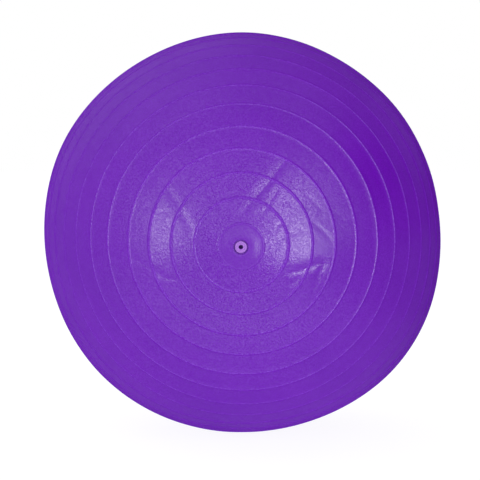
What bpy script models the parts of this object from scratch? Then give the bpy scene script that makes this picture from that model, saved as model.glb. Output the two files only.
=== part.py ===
"""Inflatable exercise ball, 65 cm across, with its valve insert and push-in air plug.

Units are metres and +Z is up. The origin is on the floor, under the ball's centre, in the flat
patch that the ball rests on. The valve's axis runs along Y through the ball's centre, and the
valve faces -Y. Angles down from the valve are measured at the ball's centre.
"""

import math

import bmesh
import bpy
from mathutils import Vector

# The ball's skin
BALL_RADIUS = 0.325
WALL = 0.0008
REST_DROP = 0.0027  # how far the skin is pressed flat where the ball rests
BALL_SEGMENTS = 36

# An inflated skin isn't quite round: (lobes, share of the radius, degrees from +X towards +Z)
OUT_OF_ROUND = (
    (2, 0.0066, -56.6),
    (3, 0.0039, -31.8),
    (4, 0.0051, -33.8),
    (5, 0.0022, 22.8),
    (6, 0.0024, 29.7),
)

# Raised mould ribs, the same in both halves, at angles from the valve's axis in degrees
RIB_WIDTH = 0.0052
RIB_HEIGHT = 0.0009
NEAR_RIBS = 5
NEAR_RIB_START = 5.8
NEAR_RIB_STEP = 6.33
FAR_RIBS = 8
FAR_RIB_START = 38.1
FAR_RIB_STEP = 6.6

# The mould's parting line round the middle
PARTING_WIDTH = 0.0040
PARTING_HEIGHT = 0.0005

# Close rings at both poles, in degrees, that keep the skin round over the insert's flange
POLE_RINGS = (1.6, 3.2, 4.6)

# Gap kept between pieces that touch
GAP = 0.0003

# Valve insert: a sleeve with a flange that is bonded under the skin
VALVE_HOLE_RADIUS = 0.0108
VALVE_HOLE_REACH = 0.0100  # of the hole's cutter, to each side of the skin
SEAT_RADIUS = 0.0105
SEAT_DEPTH = 0.0026
FLANGE_INNER_RADIUS = 0.0125
FLANGE_RADIUS = 0.0210
FLANGE_THICKNESS = 0.0012
SLEEVE_RADIUS = 0.0080
SLEEVE_DEPTH = 0.0170
BORE_RADIUS = 0.0055
BORE_CHAMFER = 0.0005
VALVE_SEGMENTS = 32

# Air plug: a round head, a ribbed stem and a blind hole in the head
HEAD_RADIUS = 0.0088
HEAD_TOP_DEPTH = 0.0001
HEAD_EDGE = 0.0007
CORE_RADIUS = 0.0032
CORE_CHAMFER = 0.0005
CORE_DEPTH = 0.0170
STEM_RADIUS = 0.0047
STEM_RIB_RADIUS = 0.0052
STEM_RIBS = 3
STEM_RIB_PITCH = 0.0045
STEM_RIB_START = 0.0056
STEM_RIB_LENGTH = 0.0022
STEM_TIP_RADIUS = 0.0030
STEM_TAPER = 0.0045
STEM_DEPTH = 0.0250

# Colours: (red, green, blue, 1), roughness, metallic
SKIN_FINISH = ((0.185, 0.035, 0.480, 1.0), 0.42, 0.0)
INSERT_FINISH = ((0.150, 0.030, 0.400, 1.0), 0.50, 0.0)
PLUG_FINISH = ((0.420, 0.200, 0.720, 1.0), 0.38, 0.0)


def out_of_round(down, around):
    """The skin's radius as a share of the nominal one, at an angle down from the valve and round it."""
    share = 1.0
    for lobes, size, towards in OUT_OF_ROUND:
        share += size * math.sin(down) ** lobes * math.cos(lobes * (around - math.radians(towards)))
    return share


LOWEST_RADIUS = BALL_RADIUS * out_of_round(math.pi / 2, -math.pi / 2)
CENTRE = Vector((0.0, 0.0, LOWEST_RADIUS - REST_DROP))
VALVE_POLE = CENTRE - Vector((0.0, BALL_RADIUS, 0.0))


def clear_scene():
    for old in list(bpy.data.objects):
        bpy.data.objects.remove(old, do_unlink=True)


def material(name, finish):
    colour, roughness, metallic = finish
    made = bpy.data.materials.new(name)
    made.use_nodes = True
    shader = made.node_tree.nodes["Principled BSDF"]
    shader.inputs["Base Color"].default_value = colour
    shader.inputs["Roughness"].default_value = roughness
    shader.inputs["Metallic"].default_value = metallic
    made.diffuse_color = colour
    return made


def turned(profile, segments, closed):
    """A bmesh turned about the Y axis from (radius, y) points. An open profile starts and ends on the axis."""
    bm = bmesh.new()
    verts = [bm.verts.new((radius, y, 0.0)) for radius, y in profile]
    edges = [bm.edges.new(pair) for pair in zip(verts, verts[1:])]
    if closed:
        edges.append(bm.edges.new((verts[-1], verts[0])))
    bmesh.ops.spin(
        bm,
        geom=verts + edges,
        axis=(0.0, 1.0, 0.0),
        cent=(0.0, 0.0, 0.0),
        angle=2.0 * math.pi,
        steps=segments,
        use_merge=True,
    )
    bmesh.ops.remove_doubles(bm, verts=bm.verts, dist=1e-6)
    bmesh.ops.recalc_face_normals(bm, faces=bm.faces)
    return bm


def add_object(name, bm, location, finish=None):
    mesh = bpy.data.meshes.new(name)
    bm.to_mesh(mesh)
    bm.free()
    mesh.shade_smooth()
    mesh.set_sharp_from_angle(angle=math.radians(30))
    made = bpy.data.objects.new(name, mesh)
    made.location = location
    bpy.context.collection.objects.link(made)
    if finish:
        mesh.materials.append(material(name, finish))
    return made


def cut(target, cutter):
    boolean = target.modifiers.new("cut_" + cutter.name, "BOOLEAN")
    boolean.operation = "DIFFERENCE"
    boolean.solver = "EXACT"
    boolean.object = cutter
    cutter.hide_render = True
    cutter.display_type = "WIRE"


def rib_angles():
    """The ribs' angles from the valve, out to the middle, then mirrored in the far half."""
    near = [NEAR_RIB_START + NEAR_RIB_STEP * n for n in range(NEAR_RIBS)]
    far = [FAR_RIB_START + FAR_RIB_STEP * n for n in range(FAR_RIBS)]
    half = near + far
    return half + [180.0 - angle for angle in reversed(half)]


def skin_rings(with_ribs):
    """(degrees from the valve, height above the skin) of each ring of the skin, pole to pole."""
    rib_half = math.degrees(RIB_WIDTH / 2 / BALL_RADIUS)
    parting_half = math.degrees(PARTING_WIDTH / 2 / BALL_RADIUS)
    raised = [(angle, rib_half, RIB_HEIGHT) for angle in rib_angles()]
    raised.append((90.0, parting_half, PARTING_HEIGHT))
    rings = [(0.0, 0.0), (180.0, 0.0)]
    rings += [(angle, 0.0) for angle in POLE_RINGS]
    rings += [(180.0 - angle, 0.0) for angle in POLE_RINGS]
    for angle, half, height in raised:
        if with_ribs:
            rings += [(angle - half, 0.0), (angle, height), (angle + half, 0.0)]
        else:
            rings.append((angle, 0.0))
    return sorted(rings)


def skin_surface(base_radius, with_ribs, floor):
    """A closed, slightly out-of-round ball, about the ball's centre, cut flat at the floor's height."""
    profile = []
    for angle, height in skin_rings(with_ribs):
        down = math.radians(angle)
        radius = base_radius + height
        profile.append((radius * math.sin(down), -radius * math.cos(down)))
    profile[0] = (0.0, profile[0][1])
    profile[-1] = (0.0, profile[-1][1])
    bm = turned(profile, BALL_SEGMENTS, closed=False)
    for vert in bm.verts:
        down = math.acos(max(-1.0, min(1.0, -vert.co.y / vert.co.length)))
        around = math.atan2(vert.co.z, vert.co.x)
        vert.co *= out_of_round(down, around)
    flatten(bm, floor - CENTRE.z)
    return bm


def flatten(bm, height):
    """Cuts the ball off at a height and closes it with one flat face."""
    bmesh.ops.bisect_plane(
        bm,
        geom=bm.verts[:] + bm.edges[:] + bm.faces[:],
        dist=1e-6,
        plane_co=(0.0, 0.0, height),
        plane_no=(0.0, 0.0, -1.0),
        clear_outer=True,
    )
    rim = [edge for edge in bm.edges if edge.is_boundary]
    bmesh.ops.contextual_create(bm, geom=rim)
    bmesh.ops.recalc_face_normals(bm, faces=bm.faces)


def make_ball_shell():
    shell = add_object("ball_shell", skin_surface(BALL_RADIUS, True, 0.0), CENTRE, SKIN_FINISH)
    air = add_object("air_space", skin_surface(BALL_RADIUS - WALL, False, WALL), CENTRE)
    cut(shell, air)
    hole = bmesh.new()
    bmesh.ops.create_cone(
        hole,
        cap_ends=True,
        segments=VALVE_SEGMENTS,
        radius1=VALVE_HOLE_RADIUS,
        radius2=VALVE_HOLE_RADIUS,
        depth=2.0 * VALVE_HOLE_REACH,
    )
    cutter = add_object("valve_hole", hole, VALVE_POLE)
    cutter.rotation_euler = (math.pi / 2, 0.0, 0.0)
    cut(shell, cutter)


def under_skin(radius):
    """Depth below the valve pole of the skin's inner side, at a radius from the valve's axis."""
    return BALL_RADIUS - math.sqrt((BALL_RADIUS - WALL) ** 2 - radius**2)


def make_valve_insert():
    """The origin is the valve pole on the skin's outer side, and +Y goes into the ball."""
    flange_top = under_skin(FLANGE_INNER_RADIUS) + GAP
    flange_edge_top = under_skin(FLANGE_RADIUS) + GAP
    flange_bottom = SEAT_DEPTH + FLANGE_THICKNESS
    profile = [
        (BORE_RADIUS, SEAT_DEPTH + BORE_CHAMFER),
        (BORE_RADIUS + BORE_CHAMFER, SEAT_DEPTH),
        (SEAT_RADIUS, SEAT_DEPTH),
        (FLANGE_INNER_RADIUS, flange_top),
        (FLANGE_RADIUS, flange_edge_top),
        (FLANGE_RADIUS, flange_edge_top + FLANGE_THICKNESS / 2),
        (FLANGE_INNER_RADIUS, flange_bottom),
        (SLEEVE_RADIUS, flange_bottom),
        (SLEEVE_RADIUS, SLEEVE_DEPTH - BORE_CHAMFER),
        (SLEEVE_RADIUS - BORE_CHAMFER, SLEEVE_DEPTH),
        (BORE_RADIUS, SLEEVE_DEPTH),
    ]
    add_object("valve_insert", turned(profile, VALVE_SEGMENTS, closed=True), VALVE_POLE, INSERT_FINISH)


def stem_ribs():
    """The stem's barbs: each rises steeply on the head's side and slopes off towards the tip."""
    points = []
    for n in range(STEM_RIBS):
        start = STEM_RIB_START + n * STEM_RIB_PITCH
        points.append((STEM_RADIUS, start))
        points.append((STEM_RIB_RADIUS, start + GAP))
        points.append((STEM_RADIUS, start + STEM_RIB_LENGTH))
    return points


def make_valve_plug():
    """The origin is on the slide's axis, at the valve pole, and +Y goes into the ball."""
    underside = SEAT_DEPTH - GAP
    profile = [
        (0.0, CORE_DEPTH),
        (CORE_RADIUS, CORE_DEPTH),
        (CORE_RADIUS, HEAD_TOP_DEPTH + CORE_CHAMFER),
        (CORE_RADIUS + CORE_CHAMFER, HEAD_TOP_DEPTH),
        (HEAD_RADIUS - HEAD_EDGE, HEAD_TOP_DEPTH),
        (HEAD_RADIUS, HEAD_TOP_DEPTH + HEAD_EDGE),
        (HEAD_RADIUS, underside - HEAD_EDGE),
        (HEAD_RADIUS - HEAD_EDGE, underside),
        (STEM_RADIUS, underside),
    ]
    profile += stem_ribs()
    profile += [
        (STEM_RADIUS, STEM_DEPTH - STEM_TAPER),
        (STEM_TIP_RADIUS, STEM_DEPTH),
        (0.0, STEM_DEPTH),
    ]
    add_object("valve_plug", turned(profile, VALVE_SEGMENTS, closed=False), VALVE_POLE, PLUG_FINISH)


clear_scene()
make_ball_shell()
make_valve_insert()
make_valve_plug()
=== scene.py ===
"""The looks of an inflatable exercise ball: its creased, ribbed PVC skin, valve seat and air plug."""

import math

import bmesh
import bpy
import numpy as np
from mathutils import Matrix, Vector


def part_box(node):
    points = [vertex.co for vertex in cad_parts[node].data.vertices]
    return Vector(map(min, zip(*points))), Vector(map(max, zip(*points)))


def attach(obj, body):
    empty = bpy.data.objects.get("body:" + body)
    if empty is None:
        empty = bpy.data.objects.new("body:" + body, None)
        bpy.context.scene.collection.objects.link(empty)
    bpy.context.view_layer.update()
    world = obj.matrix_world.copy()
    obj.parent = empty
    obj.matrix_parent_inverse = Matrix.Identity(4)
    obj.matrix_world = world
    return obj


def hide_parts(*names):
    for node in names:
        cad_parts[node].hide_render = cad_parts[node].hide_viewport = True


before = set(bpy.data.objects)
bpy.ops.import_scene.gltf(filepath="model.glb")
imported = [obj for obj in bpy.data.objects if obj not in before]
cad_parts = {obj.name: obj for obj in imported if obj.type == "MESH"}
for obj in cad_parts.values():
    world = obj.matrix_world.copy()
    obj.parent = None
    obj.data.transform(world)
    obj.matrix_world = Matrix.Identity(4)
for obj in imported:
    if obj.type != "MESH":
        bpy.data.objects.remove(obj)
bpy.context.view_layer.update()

MM = 0.001

# Places, from the frame. The valve's axis runs along Y through the ball's centre, and it faces -Y.
plug_low, plug_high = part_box("valve_plug")
skin_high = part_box("ball_shell")[1]
BALL_RADIUS = skin_high.y
AXIS_HEIGHT = (plug_low.z + plug_high.z) / 2
BALL_CENTRE = Vector((0.0, 0.0, AXIS_HEIGHT))
VALVE_POLE = BALL_CENTRE - Vector((0.0, BALL_RADIUS, 0.0))

# The skin, as in the CAD model but for its ribs, which are a little narrower
WALL = 0.8 * MM
VALVE_HOLE_RADIUS = 10.8 * MM
LIP_ROUND = 0.35 * MM
RIB_WIDTH = 4.8 * MM
RIB_HEIGHT = 0.9 * MM
NEAR_RIBS = [5.8 + 6.33 * n for n in range(5)]
FAR_RIBS = [38.1 + 6.6 * n for n in range(8)]
PARTING_WIDTH = 4.0 * MM
PARTING_HEIGHT = 0.5 * MM
FLOOR_ROUND = 0.6 * MM  # how sharply the skin turns up round its flat contact patch

BAND_SAG = 0.30 * MM  # the skin is a little flatter between the ribs nearest the valve
RIB_LEAN = 2.7  # degrees the ribs' circles lean away from the valve's axis, halfway round
RIB_LEAN_TOWARDS = 74.0  # degrees from +X towards +Z

# An inflated skin isn't quite round: (lobes, share of the radius, degrees from +X towards +Z)
OUT_OF_ROUND = (
    (2, 0.0066, -56.6),
    (3, 0.0039, -31.8),
    (4, 0.0051, -33.8),
    (5, 0.0022, 22.8),
    (6, 0.0024, 29.7),
)

# The first rib is a low one, on the edge of a slightly raised disc
FIRST_RIB_SHARE = 0.45
DISC_RISE = 0.65 * MM

# The skin stands up a little over the seat's flange, and sinks a little round it
BOSS_HEIGHT = 0.5 * MM
BOSS_RADIUS = 10.0 * MM
MOAT_DEPTH = 0.5 * MM
MOAT_RADIUS = 29.0 * MM
MOAT_EDGE = 60.0 * MM

# Fold creases near the valve, in millimetres: (start, end, bow to the left of the way from start to end,
# depth, width of the left bank, width of the right bank). Places are (right, up) from the valve, measured
# along the skin.
CREASES = (
    ((-122, 100), (-69, 16), 3.0, 1.00, 12.0, 14.0),
    ((-128, 50), (-104, 50), 1.0, 0.35, 5.0, 6.0),
    ((-168, -20), (-135, -33), 0.0, 0.40, 7.0, 7.0),
    ((-136, -34), (-93, -50), -4.0, 1.00, 11.0, 9.0),
    ((72, 136), (-7, 41), 3.0, 1.45, 11.0, 17.0),
    ((92, 82), (126, 47), 1.5, 0.62, 7.0, 8.0),
    ((105, 37), (139, 6), 1.0, 0.66, 7.0, 8.0),
    ((131, 57), (158, 40), 1.0, 0.40, 7.0, 7.0),
    ((61, 50), (69, 67), 1.0, 0.60, 6.0, 6.0),
    ((44, 3), (99, 31), 2.0, 0.60, 9.0, 9.0),
    ((31, 47), (57, 88), 0.0, 0.60, 7.0, 7.0),
    ((47, 20), (73, 58), -1.0, 0.50, 7.0, 6.0),
    ((66, 12), (96, 25), 0.5, 0.35, 5.0, 6.0),
    ((20, 47), (40, 53), 0.5, 0.30, 5.0, 5.0),
    ((64, -40), (130, -19), -3.0, 0.95, 16.0, 13.0),
    ((68, -58), (89, -44), -1.0, 0.70, 9.0, 9.0),
    ((129, -22), (108, -72), -4.0, 0.90, 10.0, 10.0),
)

# The slow unevenness of a blown-up skin: (wavelength in metres, height in millimetres), and waves of each
LUMPS = ((0.24, 0.50), (0.17, 0.35), (0.11, 0.20), (0.075, 0.10))
LUMP_WAVES = 3
LUMP_SEED = 7

# The ribs on the plug's stem, in millimetres from the valve pole
STEM_RIBS = 3
STEM_RIB_START = 5.6
STEM_RIB_PITCH = 4.5

# The PVC's gloss: its strength, how fast it falls as the surface turns away from the view, and its limit
GLOSS = 0.95
GLOSS_FALL = 4.0
GLOSS_LIMIT = 0.57
PVC_IOR = 1.53

# The PVC's grain, from a pit to a top
DRIFT_SCALE = 9.0  # of the slow change of colour, per metre
DRIFT_RANGE = (0.3, 0.7)  # the noise's values where the colour is darkest and lightest
CELL_SHARE = 0.7  # cells in a grain's size
CELL_LIFT = 0.6  # keeps the pores' relief in the middle of each cell
GRAIN_PIT, GRAIN_TOP = 0.3, 0.8  # the noise's own range
# Painted shade and light: the colour is darker in the grain's pits and lighter on its tops
GRAIN_PAINTED_SHADING = (0.86, 1.14)
GRAIN_GLOSS = (0.10, 1.90)
GRAIN_SHINE = 0.05  # how much rougher a pit is than the middle, and a top smoother
SMOOTH_GRAIN = 0.55  # the share of the grain that is left in the smooth disc round the valve

# The ribs' tops are matt, and their colour is painted a little paler: painted light along the ribs
RIB_ROUGHNESS = 0.62
RIB_PAINTED_LIGHT = 1.10
RIB_GLOSS = 0.75

# The studio. Lights are white, and directions are from the ball's centre.
AMBIENT = 0.38  # the light from all round
# How it differs by direction: (direction, cosines from it where this starts and is full, strength)
LIGHT_CHANGES = (
    ((0, -1, 0), 0.30, 0.95, 0.58),
    ((0, 0, 1), 0.0, 0.95, -0.20),
    ((-1, 0, 0), 0.0, 0.95, 0.50),
    ((1, 0, 0), 0.0, 0.95, 0.54),
    ((-0.8, 0.6, 0), 0.3, 0.9, 0.01),
    ((0.8, 0.6, 0), 0.3, 0.85, -0.86),
    ((0, 0.6, 0.8), 0.3, 0.9, 0.96),
    ((0.5, 0.2, 0.85), 0.6, 0.95, -0.33),
)
SOFTBOX_DISTANCE = 2.0
# (name, degrees to the right of the front, degrees up, width, height, strength)
SOFTBOXES = (
    ("left_softbox", -39.0, -2.5, 0.62, 1.2, 2.36),
    ("right_softbox_low", 27.7, -13.0, 0.93, 1.0, 5.2),
    ("right_softbox_high", 26.5, 14.0, 0.84, 1.0, 1.78),
)

FLOOR_SIZE = 40.0
FLOOR_DROP = 0.2 * MM  # below the ball
FLOOR_GLOW = 0.75  # the floor's light, on the ball
# How that fades: (axis, places along it where this starts and is full, shares of the light there)
FLOOR_SWEEPS = (
    ("Y", -1.3, -0.35, 0.60, 1.0),
    ("X", 0.1, 0.9, 1.0, 0.35),
)
FLOOR_WHITE = 0.92  # to the camera
FLOOR_GREY = 0.16  # how much of the light that falls on it comes back

CAMERA_DISTANCE = 2.629
CAMERA_TURN = 0.46  # degrees to the right of the front
CAMERA_RISE = 3.4  # degrees
CAMERA_LENS = 120.0  # millimetres
CAMERA_SENSOR = 36.0  # millimetres
# The camera aims a little right of the ball's centre and a little below it
AIM_RIGHT = 4.4 * MM
AIM_DOWN = 10.2 * MM

# Meshes
NEAR_SKIN = math.radians(35.5)  # from the valve
NEAR_SEGMENTS = 384  # round the skin, near the valve, where its creases are
FAR_SEGMENTS = 192  # round the rest of it
CLOSE_RINGS_END = math.radians(35.0)  # from the valve
CLOSE_RING_GAP = 2.3 * MM
WIDE_RING_GAP = 7.5 * MM
RIB_RINGS = (-1.0, -0.72, -0.42, -0.14, 0.14, 0.42, 0.72, 1.0)  # across a rib, in half widths of it
RIB_CLEARANCE = 1.15  # half widths of a rib, from its middle, where it has only those rings
LIP_TURNS = (90.0, 60.0, 30.0)  # round the valve hole's lip, in degrees
INNER_RINGS = 46
VALVE_SEGMENTS = 96
ARC_STEPS = 4  # round a corner of a turned piece
SHARP_EDGE = math.radians(60)


# ---------------------------------------------------------------- shape of the skin

def out_of_round(down, around):
    """The skin's radius as a share of the nominal one, at angles down from the valve and round it."""
    share = np.ones_like(down * around)
    for lobes, size, towards in OUT_OF_ROUND:
        share += size * np.sin(down) ** lobes * np.cos(lobes * (around - math.radians(towards)))
    return share


def raised_line(distance, width, height):
    """The height of a round-topped line, at a distance from its middle."""
    inside = np.abs(distance) < width / 2
    return np.where(inside, height * 0.5 * (1 + np.cos(2 * math.pi * distance / width)), 0.0)


def rib_relief(down):
    """The height of the mould's ribs and parting line, at angles down from the valve."""
    relief = raised_line((down - math.pi / 2) * BALL_RADIUS, PARTING_WIDTH, PARTING_HEIGHT)
    for angle in NEAR_RIBS + FAR_RIBS:
        share = FIRST_RIB_SHARE if angle == NEAR_RIBS[0] else 1.0
        for place in (math.radians(angle), math.pi - math.radians(angle)):
            relief = relief + raised_line((down - place) * BALL_RADIUS, RIB_WIDTH, RIB_HEIGHT * share)
    return relief


def disc_relief(down):
    """The height of the disc inside the first rib, at angles down from the valve."""
    past_edge = np.maximum(down - math.radians(NEAR_RIBS[0]), 0.0) * BALL_RADIUS
    return raised_line(past_edge, RIB_WIDTH, DISC_RISE)


def band_relief(down):
    """How far the skin sags between the ribs nearest the valve, at angles down from the valve."""
    relief = 0.0
    places = [math.radians(angle) for angle in NEAR_RIBS]
    for low, high in zip(places, places[1:] + [math.radians(FAR_RIBS[0])]):
        share = np.clip((down - low) / (high - low), 0.0, 1.0)
        relief = relief - 4 * BAND_SAG * share * (1 - share)
    return relief


def boss_relief(down):
    """The rise over the seat's flange and the shallow moat round it, at angles down from the valve."""
    away = down * BALL_RADIUS
    fall = np.clip((away - BOSS_RADIUS) / (MOAT_RADIUS - BOSS_RADIUS), 0.0, 1.0)
    climb = np.clip((away - MOAT_RADIUS) / (MOAT_EDGE - MOAT_RADIUS), 0.0, 1.0)
    fallen = BOSS_HEIGHT - (BOSS_HEIGHT + MOAT_DEPTH) * 0.5 * (1 - np.cos(math.pi * fall))
    return fallen + MOAT_DEPTH * 0.5 * (1 - np.cos(math.pi * climb)) + disc_relief(down)


def crease_relief(down, around):
    """The depth of the fold creases, each a shallow valley with one sharp line along its bottom."""
    right = down * BALL_RADIUS * np.cos(around) / MM
    up = down * BALL_RADIUS * np.sin(around) / MM
    relief = np.zeros_like(right)
    for start, end, bow, depth, left_bank, right_bank in CREASES:
        along_x, along_y = end[0] - start[0], end[1] - start[1]
        length = math.hypot(along_x, along_y)
        along_x, along_y = along_x / length, along_y / length
        share = ((right - start[0]) * along_x + (up - start[1]) * along_y) / length
        across = (up - start[1]) * along_x - (right - start[0]) * along_y
        across = across - bow * (1 - (2 * share - 1) ** 2)
        bank = np.where(across > 0, left_bank, right_bank)
        fade = np.clip(1 - (2 * share - 1) ** 4, 0.0, 1.0)
        relief -= depth * MM * fade * np.clip(1 - np.abs(across) / bank, 0.0, 1.0) ** 2
    return relief


def lump_relief(x, y, z):
    """Slow unevenness of a blown-up skin, from a few crossing waves."""
    random = np.random.default_rng(LUMP_SEED)
    relief = np.zeros_like(x)
    for wavelength, height in LUMPS:
        for _ in range(LUMP_WAVES):
            direction = random.normal(size=3)
            direction /= np.linalg.norm(direction)
            phase = random.uniform(0, 2 * math.pi)
            along = x * direction[0] + y * direction[1] + z * direction[2]
            relief += height * MM * np.sin(2 * math.pi * along / wavelength + phase) / LUMP_WAVES
    return relief


def leaned(ring, around):
    """Directions to the points of the mould's rings, whose circles lean away from the valve's axis."""
    towards = math.radians(RIB_LEAN_TOWARDS)
    hinge = np.array([-math.sin(towards), 0.0, math.cos(towards)])
    from_hole = np.maximum(ring - VALVE_HOLE_RADIUS / BALL_RADIUS, 0.0)
    lean = math.radians(RIB_LEAN) * np.sin(from_hole)[..., None]
    ways = np.stack(
        [
            np.sin(ring) * np.cos(around),
            -np.cos(ring) * np.ones_like(ring * around),
            np.sin(ring) * np.sin(around),
        ],
        axis=-1,
    )
    along = (ways @ hinge)[..., None] * hinge
    return ways * np.cos(lean) + np.cross(hinge, ways) * np.sin(lean) + along * (1 - np.cos(lean))


def skin_points(ring, around, height):
    """Points of the skin on the mould's rings, in the row frame, at a height above its outer side."""
    x, y, z = np.moveaxis(leaned(ring, around), -1, 0)
    down = np.arccos(np.clip(-y, -1.0, 1.0))
    around = np.arctan2(z, x)
    # There are no lumps over the valve seat
    lumpiness = np.clip((down * BALL_RADIUS - BOSS_RADIUS) / BOSS_RADIUS, 0.0, 1.0)
    lumps = lumpiness * lump_relief(x * BALL_RADIUS, y * BALL_RADIUS, z * BALL_RADIUS)
    radius = BALL_RADIUS * out_of_round(down, around) + crease_relief(down, around) + lumps + height
    points = np.stack([x * radius, y * radius, z * radius + BALL_CENTRE.z], axis=-1)
    # The outer side rests on the floor, and the inner side a wall's thickness above it
    rest = np.where(height < -WALL / 2, WALL, 0.0)
    above = points[..., 2] - rest
    points[..., 2] = rest + 0.5 * (above + np.sqrt(above**2 + FLOOR_ROUND**2))
    return points


def ring_angles(first):
    """Angles down from the valve of the outer rings: close near the valve, and closer over each rib."""
    angles = list(np.arange(first, CLOSE_RINGS_END, CLOSE_RING_GAP / BALL_RADIUS))
    lines = [(math.radians(angle), RIB_WIDTH) for angle in NEAR_RIBS + FAR_RIBS]
    lines += [(math.pi - place, width) for place, width in lines]
    lines.append((math.pi / 2, PARTING_WIDTH))
    for place, width in sorted(lines):
        half = width / 2 / BALL_RADIUS
        angles = [a for a in angles if abs(a - place) > half * RIB_CLEARANCE]
        angles += [place + half * share for share in RIB_RINGS]
    angles.sort()
    filled = []
    for low, high in zip(angles, angles[1:] + [math.pi]):
        gap = (high - low) * BALL_RADIUS
        steps = max(1, round(gap / WIDE_RING_GAP))
        filled += [low + (high - low) * n / steps for n in range(steps)]
    return np.array(filled)


def joined_faces(low, low_count, high, high_count):
    """Faces between two rings of vertices. One may be a pole, or have twice as many as the other."""
    if low_count == high_count:
        turn = [(n, (n + 1) % low_count) for n in range(low_count)]
        return [(low + n, low + m, high + m, high + n) for n, m in turn]
    coarse, fine, count, fine_count = low, high, low_count, high_count
    if high_count < low_count:
        coarse, fine, count, fine_count = high, low, high_count, low_count
    if count == 1:
        return [(coarse, fine + n, fine + (n + 1) % fine_count) for n in range(fine_count)]
    faces = []
    for n in range(count):
        m = (n + 1) % count
        left, middle, right = fine + 2 * n, fine + 2 * n + 1, fine + 2 * m
        faces.append((coarse + n, coarse + m, middle))
        faces.append((coarse + n, middle, left))
        faces.append((coarse + m, right, middle))
    return faces


def grid_faces(rows, segments, first_pole, last_pole):
    """Faces of a grid of rings. A pole is one vertex, before or after the rings."""
    start = 1 if first_pole else 0
    faces = []
    for row in range(rows - 1):
        low = start + row * segments
        high = low + segments
        for n in range(segments):
            m = (n + 1) % segments
            faces.append((low + n, low + m, high + m, high + n))
    if first_pole:
        faces += [(0, start + (n + 1) % segments, start + n) for n in range(segments)]
    if last_pole:
        last = start + (rows - 1) * segments
        pole = last + segments
        faces += [(last + n, last + (n + 1) % segments, pole) for n in range(segments)]
    return faces


def mesh_object(name, points, faces, finish):
    """A smooth-shaded object of one material, with its faces turned outwards."""
    mesh = bpy.data.meshes.new(name)
    mesh.from_pydata([tuple(p) for p in points], [], faces)
    bm = bmesh.new()
    bm.from_mesh(mesh)
    bmesh.ops.recalc_face_normals(bm, faces=bm.faces)
    bm.to_mesh(mesh)
    bm.free()
    mesh.shade_smooth()
    mesh.materials.append(finish)
    made = bpy.data.objects.new(name, mesh)
    bpy.context.collection.objects.link(made)
    return made


def make_ball_skin(finish):
    """The skin's outer side, its valve hole's rounded lip and its inner side, as one closed shell."""
    hole = math.asin(VALVE_HOLE_RADIUS / BALL_RADIUS)
    lip = LIP_ROUND / BALL_RADIUS
    boss = float(boss_relief(hole))
    # Rings: angle down from the valve, height above the ball's outer side, share of a rib's height
    rings = []
    for degrees in LIP_TURNS:
        turn = math.radians(degrees)
        rings.append((hole + lip * (1 - math.sin(turn)), boss - LIP_ROUND * (1 - math.cos(turn)), 0.0))
    for angle in ring_angles(hole + lip):
        rib = float(rib_relief(angle))
        rings.append((angle, rib + float(band_relief(angle) + boss_relief(angle)), rib / RIB_HEIGHT))
    near = [ring for ring in rings if ring[0] < NEAR_SKIN]
    far = [ring for ring in rings if ring[0] >= NEAR_SKIN]
    inner_angles = np.linspace(math.pi, hole, INNER_RINGS)
    inner = [(angle, float(boss_relief(angle)) - WALL, 0.0) for angle in inner_angles]
    points, faces, ribs, grain = [], [], [], []
    start, last, last_count = 0, 0, 1
    # From the inner side's far pole round the lip to the outer side's far pole
    for chain, segments in (
        (inner[:1], 1),
        (inner[1:], FAR_SEGMENTS),
        (near, NEAR_SEGMENTS),
        (far, FAR_SEGMENTS),
        ([(math.pi, 0.0, 0.0)], 1),
    ):
        around = np.linspace(0, 2 * math.pi, segments, endpoint=False)[None, :]
        for angle, height, rib in chain:
            ring = skin_points(np.array([[angle]]), around, np.array([[height]]))
            points.append(ring.reshape(-1, 3))
            ribs += [rib] * segments
            grain += [float(angle > math.radians(NEAR_RIBS[0]))] * segments
            if start:
                faces += joined_faces(last, last_count, start, segments)
            last, last_count = start, segments
            start += segments
    made = mesh_object("ball_skin", np.concatenate(points), faces, finish)
    for name, values in (("rib", ribs), ("grain", grain)):
        made.data.attributes.new(name, "FLOAT", "POINT").data.foreach_set("value", values)
    return made


# ---------------------------------------------------------------- turned pieces

def rounded(outline):
    """The (radius, depth) points of a (radius, depth, corner size) outline, with its corners rounded."""
    corners = [Vector(point[:2]) for point in outline]
    points = []
    for n, (radius, depth, size) in enumerate(outline):
        if size == 0.0:
            points.append((radius, depth))
            continue
        here = corners[n]
        before = (corners[n - 1] - here).normalized()
        after = (corners[(n + 1) % len(corners)] - here).normalized()
        start, end = here + before * size, here + after * size
        for step in range(ARC_STEPS + 1):
            t = step / ARC_STEPS
            points.append(tuple(start * (1 - t) ** 2 + here * 2 * t * (1 - t) + end * t**2))
    return points


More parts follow.
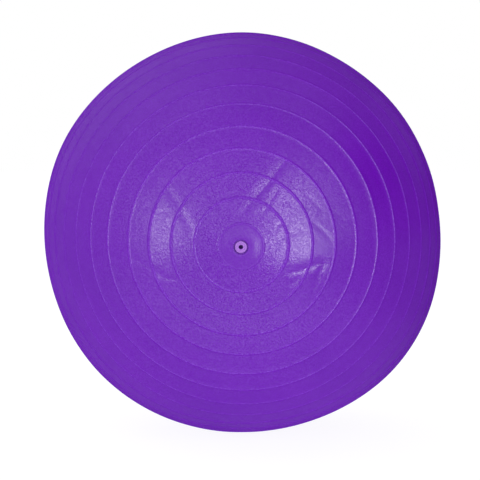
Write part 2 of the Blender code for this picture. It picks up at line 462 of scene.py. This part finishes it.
def turned(name, profile, finish):
    """A solid turned about the valve's axis from (radius, depth into the ball) points in millimetres."""
    on_axis = [radius < 1e-6 for radius, _ in profile]
    around = np.linspace(0, 2 * math.pi, VALVE_SEGMENTS, endpoint=False)
    first_pole, last_pole = on_axis[0], on_axis[-1]
    rings = [p for p, pole in zip(profile, on_axis) if not pole]
    radius = np.array([r for r, _ in rings])[:, None] * MM
    depth = np.array([d for _, d in rings])[:, None] * MM
    points = np.stack(
        [
            radius * np.cos(around) + VALVE_POLE.x,
            depth + VALVE_POLE.y + 0 * around,
            radius * np.sin(around) + VALVE_POLE.z,
        ],
        axis=-1,
    ).reshape(-1, 3)
    poles = [[VALVE_POLE.x, profile[i][1] * MM + VALVE_POLE.y, VALVE_POLE.z] for i in (0, -1)]
    if first_pole:
        points = np.concatenate([[poles[0]], points])
    if last_pole:
        points = np.concatenate([points, [poles[1]]])
    faces = grid_faces(len(rings), VALVE_SEGMENTS, first_pole, last_pole)
    if not first_pole:
        last = (len(rings) - 1) * VALVE_SEGMENTS
        for n in range(VALVE_SEGMENTS):
            m = (n + 1) % VALVE_SEGMENTS
            faces.append((last + n, last + m, m, n))
    made = mesh_object(name, points, faces, finish)
    made.data.set_sharp_from_angle(angle=SHARP_EDGE)
    return made


def make_valve_seat(finish):
    """The flanged sleeve under the skin. Depths are below the valve pole on the skin's outer side."""
    outline = [
        (5.5, 3.1, 0.0),
        (6.0, 2.6, 0.0),
        (9.1, 2.6, 0.15),
        (9.4, 2.3, 0.0),
        (9.4, 1.1, 0.2),
        (10.5, 1.1, 0.3),
        (11.2, 1.6, 0.0),
        (12.6, 1.9, 0.0),
        (21.0, 2.2, 0.0),
        (21.0, 2.9, 0.0),
        (12.5, 3.9, 0.8),
        (8.0, 4.3, 0.5),
        (8.0, 16.6, 0.0),
        (7.6, 17.0, 0.2),
        (5.5, 17.0, 0.0),
    ]
    return turned("valve_seat", rounded(outline), finish)


def make_air_plug(finish):
    """A round head with a shallow ring round its blind hole, and a ribbed stem that tapers to its tip."""
    head = [
        (0.0, 17.0, 0.0),
        (3.2, 17.0, 0.3),
        (3.2, 0.6, 0.0),
        (3.6, 0.1, 0.25),
        (5.2, 0.05, 0.15),
        (5.7, 0.35, 0.2),
        (6.3, 0.35, 0.2),
        (6.8, 0.05, 0.15),
        (8.3, 0.15, 0.3),
        (8.8, 0.8, 0.25),
        (8.8, 1.7, 0.3),
        (8.2, 2.3, 0.3),
        (4.7, 2.3, 0.4),
    ]
    stem = []
    for n in range(STEM_RIBS):
        start = STEM_RIB_START + STEM_RIB_PITCH * n
        stem.append((4.7, start, 0.0))
        stem.append((5.2, start + 0.3, 0.0))
        stem.append((5.15, start + 0.7, 0.0))
        stem.append((4.7, start + 2.2, 0.0))
    tip = [(4.7, 20.5, 0.6), (3.0, 25.0, 0.6), (0.0, 25.0, 0.0)]
    return turned("air_plug", rounded(head + stem + tip), finish)


# ---------------------------------------------------------------- materials

class Nodes:
    """Adds nodes to the tree of a material or a world, and links them."""

    def __init__(self, owner):
        owner.use_nodes = True
        self.tree = owner.node_tree

    def add(self, kind, **settings):
        node = self.tree.nodes.new(kind)
        for key, value in settings.items():
            setattr(node, key, value)
        return node

    def link(self, source, target):
        self.tree.links.new(source, target)


def texture(nodes, kind, place, scale, **values):
    """A texture at a place, with values for its sockets."""
    node = nodes.add(kind)
    nodes.link(place, node.inputs["Vector"])
    node.inputs["Scale"].default_value = scale
    for key, value in values.items():
        node.inputs[key].default_value = value
    return node


def ramp(nodes, source, low, high, low_colour, high_colour):
    """A blend from one colour to the other, as the source goes from low to high."""
    node = nodes.add("ShaderNodeValToRGB")
    node.color_ramp.elements[0].position = low
    node.color_ramp.elements[1].position = high
    node.color_ramp.elements[0].color = low_colour
    node.color_ramp.elements[1].color = high_colour
    nodes.link(source, node.inputs["Fac"])
    return node.outputs["Color"]


def remap(nodes, source, low, high, start=0.0, full=1.0, interpolation="LINEAR"):
    """A value that goes from low to high as the source goes from start to full."""
    node = nodes.add("ShaderNodeMapRange", interpolation_type=interpolation)
    node.inputs["From Min"].default_value = start
    node.inputs["From Max"].default_value = full
    node.inputs["To Min"].default_value = low
    node.inputs["To Max"].default_value = high
    nodes.link(source, node.inputs["Value"])
    return node.outputs["Result"]


def math_node(nodes, operation, first, second):
    """The result of an operation on two sockets or floats."""
    node = nodes.add("ShaderNodeMath", operation=operation)
    for socket, value in zip(node.inputs, (first, second)):
        if isinstance(value, float):
            socket.default_value = value
        else:
            nodes.link(value, socket)
    return node.outputs[0]


def tinted(nodes, colour, share):
    """A colour times a share."""
    node = nodes.add("ShaderNodeMix", data_type="RGBA", blend_type="MULTIPLY")
    node.inputs["Factor"].default_value = 1.0
    nodes.link(colour, node.inputs["A"])
    nodes.link(share, node.inputs["B"])
    return node.outputs["Result"]


def pvc(name, dark, light, roughness, grain_size, grain_depth, moulded=False):
    """PVC: slow colour drift, a leathery grain whose pits carry painted shade, and a gloss that varies
    with it and dulls at a glance.

    The skin's is moulded: its ribs are matt and their colour is painted paler, as painted light, and
    round its valve it's smooth.
    """
    material = bpy.data.materials.new(name)
    nodes = Nodes(material)
    shader = nodes.tree.nodes["Principled BSDF"]
    place = nodes.add("ShaderNodeTexCoord").outputs["Object"]
    drift = texture(nodes, "ShaderNodeTexNoise", place, DRIFT_SCALE, Detail=3.0, Roughness=0.5)
    colour = ramp(nodes, drift.outputs["Fac"], *DRIFT_RANGE, dark, light)
    pores = texture(nodes, "ShaderNodeTexNoise", place, 1 / grain_size, Detail=2.0, Roughness=0.6)
    cells = texture(nodes, "ShaderNodeTexVoronoi", place, CELL_SHARE / grain_size)
    cell_height = math_node(nodes, "ADD", cells.outputs["Distance"], CELL_LIFT)
    grain = math_node(nodes, "MULTIPLY", pores.outputs["Fac"], cell_height)
    level = remap(nodes, grain, 0.0, 1.0, GRAIN_PIT, GRAIN_TOP)
    if moulded:
        rough = nodes.add("ShaderNodeAttribute", attribute_name="grain").outputs["Fac"]
        rib = nodes.add("ShaderNodeAttribute", attribute_name="rib").outputs["Fac"]
        # Smooth places stay near the middle of the grain's range
        swing = math_node(nodes, "SUBTRACT", level, 0.5)
        swing = math_node(nodes, "MULTIPLY", swing, remap(nodes, rough, SMOOTH_GRAIN, 1.0))
        level = math_node(nodes, "ADD", swing, 0.5)
    # Painted shade: the colour darkens in the grain's pits and lightens on its tops
    colour_with_painted_shading = tinted(nodes, colour, remap(nodes, level, *GRAIN_PAINTED_SHADING))
    # Seen at a glance the gloss would be a white veil, so it fades out there
    turned_away = nodes.add("ShaderNodeLayerWeight").outputs["Facing"]
    head_on = math_node(nodes, "SUBTRACT", 1.0, turned_away)
    fade = math_node(nodes, "MULTIPLY", math_node(nodes, "POWER", head_on, GLOSS_FALL), GLOSS)
    fade = math_node(nodes, "MINIMUM", fade, GLOSS_LIMIT)
    gloss = math_node(nodes, "MULTIPLY", fade, remap(nodes, level, *GRAIN_GLOSS))
    shine = remap(nodes, level, roughness + GRAIN_SHINE, roughness - GRAIN_SHINE)
    if moulded:
        # Painted light: the ribs' colour is made paler along them
        colour_with_painted_shading = tinted(nodes, colour_with_painted_shading, remap(nodes, rib, 1.0, RIB_PAINTED_LIGHT))
        gloss = math_node(nodes, "MULTIPLY", gloss, remap(nodes, rib, 1.0, RIB_GLOSS))
        shine = math_node(nodes, "MAXIMUM", shine, remap(nodes, rib, 0.0, RIB_ROUGHNESS))
    bumps = nodes.add("ShaderNodeBump")
    bumps.inputs["Distance"].default_value = grain_depth
    bumps.inputs["Strength"].default_value = 1.0
    nodes.link(level, bumps.inputs["Height"])
    nodes.link(colour_with_painted_shading, shader.inputs["Base Color"])
    nodes.link(gloss, shader.inputs["Specular IOR Level"])
    nodes.link(shine, shader.inputs["Roughness"])
    shader.inputs["IOR"].default_value = PVC_IOR
    nodes.link(bumps.outputs["Normal"], shader.inputs["Normal"])
    return material


# ---------------------------------------------------------------- stage

def way_out(turn, rise):
    """A direction from the ball's centre, at degrees to the right of the front and degrees up."""
    turn, rise = math.radians(turn), math.radians(rise)
    return Vector((math.sin(turn) * math.cos(rise), -math.cos(turn) * math.cos(rise), math.sin(rise)))


def make_softbox(name, turn, rise, width, height, radiance):
    """A rectangular light that faces the ball's centre and isn't seen by the camera."""
    direction = way_out(turn, rise)
    data = bpy.data.lights.new(name, "AREA")
    data.shape = "RECTANGLE"
    data.size = width
    data.size_y = height
    data.energy = radiance * width * height * math.pi
    light = bpy.data.objects.new(name, data)
    light.location = BALL_CENTRE + direction * SOFTBOX_DISTANCE
    light.rotation_euler = (-direction).to_track_quat("-Z", "Y").to_euler()
    light.visible_camera = False
    bpy.context.collection.objects.link(light)


def make_camera():
    """In front of the valve, a little above it, far enough back to flatten the view."""
    direction = way_out(CAMERA_TURN, CAMERA_RISE)
    data = bpy.data.cameras.new("camera")
    data.lens = CAMERA_LENS
    data.sensor_width = CAMERA_SENSOR
    camera = bpy.data.objects.new("camera", data)
    camera.location = BALL_CENTRE + direction * CAMERA_DISTANCE
    right = direction.cross(Vector((0, 0, 1))).normalized()
    up = right.cross(direction).normalized()
    aim = BALL_CENTRE + right * AIM_RIGHT - up * AIM_DOWN
    camera.rotation_euler = (aim - camera.location).to_track_quat("-Z", "Y").to_euler()
    bpy.context.collection.objects.link(camera)
    bpy.context.scene.camera = camera


def make_floor():
    """A pale floor, white to the camera but dim as a light, most of all in front and on the right."""
    bpy.ops.mesh.primitive_plane_add(size=FLOOR_SIZE, location=(0, 0, -FLOOR_DROP))
    floor = bpy.context.object
    floor.name = "floor"
    material = bpy.data.materials.new("floor")
    nodes = Nodes(material)
    nodes.tree.nodes.remove(nodes.tree.nodes["Principled BSDF"])
    apart = nodes.add("ShaderNodeSeparateXYZ")
    nodes.link(nodes.add("ShaderNodeTexCoord").outputs["Object"], apart.inputs["Vector"])
    level = FLOOR_GLOW
    for axis, start, full, low, high in FLOOR_SWEEPS:
        sweep = remap(nodes, apart.outputs[axis], low, high, start, full, "SMOOTHSTEP")
        level = math_node(nodes, "MULTIPLY", level, sweep)
    seen = nodes.add("ShaderNodeLightPath").outputs["Is Camera Ray"]
    level = math_node(nodes, "MAXIMUM", level, math_node(nodes, "MULTIPLY", seen, FLOOR_WHITE))
    glow = nodes.add("ShaderNodeEmission")
    glow.inputs["Color"].default_value = (1, 1, 1, 1)
    nodes.link(level, glow.inputs["Strength"])
    matt = nodes.add("ShaderNodeBsdfDiffuse")
    matt.inputs["Color"].default_value = (FLOOR_GREY, FLOOR_GREY, FLOOR_GREY, 1)
    both = nodes.add("ShaderNodeAddShader")
    nodes.link(glow.outputs[0], both.inputs[0])
    nodes.link(matt.outputs[0], both.inputs[1])
    nodes.link(both.outputs[0], nodes.tree.nodes["Material Output"].inputs["Surface"])
    floor.data.materials.append(material)


def make_world():
    """White to the camera. As a light it is strongest from the front and from high behind, and weakest
    from behind on the right.
    """
    world = bpy.data.worlds.new("studio")
    bpy.context.scene.world = world
    nodes = Nodes(world)
    nodes.tree.nodes.clear()
    place = nodes.add("ShaderNodeTexCoord").outputs["Generated"]
    level = AMBIENT
    for direction, start, full, strength in LIGHT_CHANGES:
        towards = nodes.add("ShaderNodeVectorMath", operation="DOT_PRODUCT")
        towards.inputs[1].default_value = Vector(direction).normalized()
        nodes.link(place, towards.inputs[0])
        change = remap(nodes, towards.outputs["Value"], 0.0, strength, start, full, "SMOOTHSTEP")
        level = math_node(nodes, "ADD", level, change)
    lighting = nodes.add("ShaderNodeBackground")
    lighting.inputs["Color"].default_value = (1, 1, 1, 1)
    nodes.link(level, lighting.inputs["Strength"])
    backdrop = nodes.add("ShaderNodeBackground")
    backdrop.inputs["Color"].default_value = (1, 1, 1, 1)
    backdrop.inputs["Strength"].default_value = 1.0
    mix = nodes.add("ShaderNodeMixShader")
    nodes.link(nodes.add("ShaderNodeLightPath").outputs["Is Camera Ray"], mix.inputs["Fac"])
    nodes.link(lighting.outputs[0], mix.inputs[1])
    nodes.link(backdrop.outputs[0], mix.inputs[2])
    nodes.link(mix.outputs[0], nodes.add("ShaderNodeOutputWorld").inputs["Surface"])


# ---------------------------------------------------------------- the model

# Each: darkest and lightest colour, roughness, size and depth of the grain
skin_pvc = pvc(
    "skin_pvc",
    (0.142, 0.0080, 0.445, 1),
    (0.156, 0.0100, 0.475, 1),
    0.21,
    1.5 * MM,
    0.09 * MM,
    moulded=True,
)
seat_pvc = pvc("seat_pvc", (0.16, 0.015, 0.46, 1), (0.18, 0.020, 0.50, 1), 0.68, 1.2 * MM, 0.05 * MM)
plug_pvc = pvc("plug_pvc", (0.36, 0.14, 0.64, 1), (0.38, 0.16, 0.66, 1), 0.66, 1.0 * MM, 0.03 * MM)

ball_skin = make_ball_skin(skin_pvc)
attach(ball_skin, "ball")
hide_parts("ball_shell")

valve_seat = make_valve_seat(seat_pvc)
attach(valve_seat, "ball")
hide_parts("valve_insert")

air_plug = make_air_plug(plug_pvc)
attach(air_plug, "plug")
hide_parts("valve_plug")

make_camera()
make_floor()
make_world()
for softbox in SOFTBOXES:
    make_softbox(*softbox)
bpy.context.scene.view_settings.view_transform = "Standard"
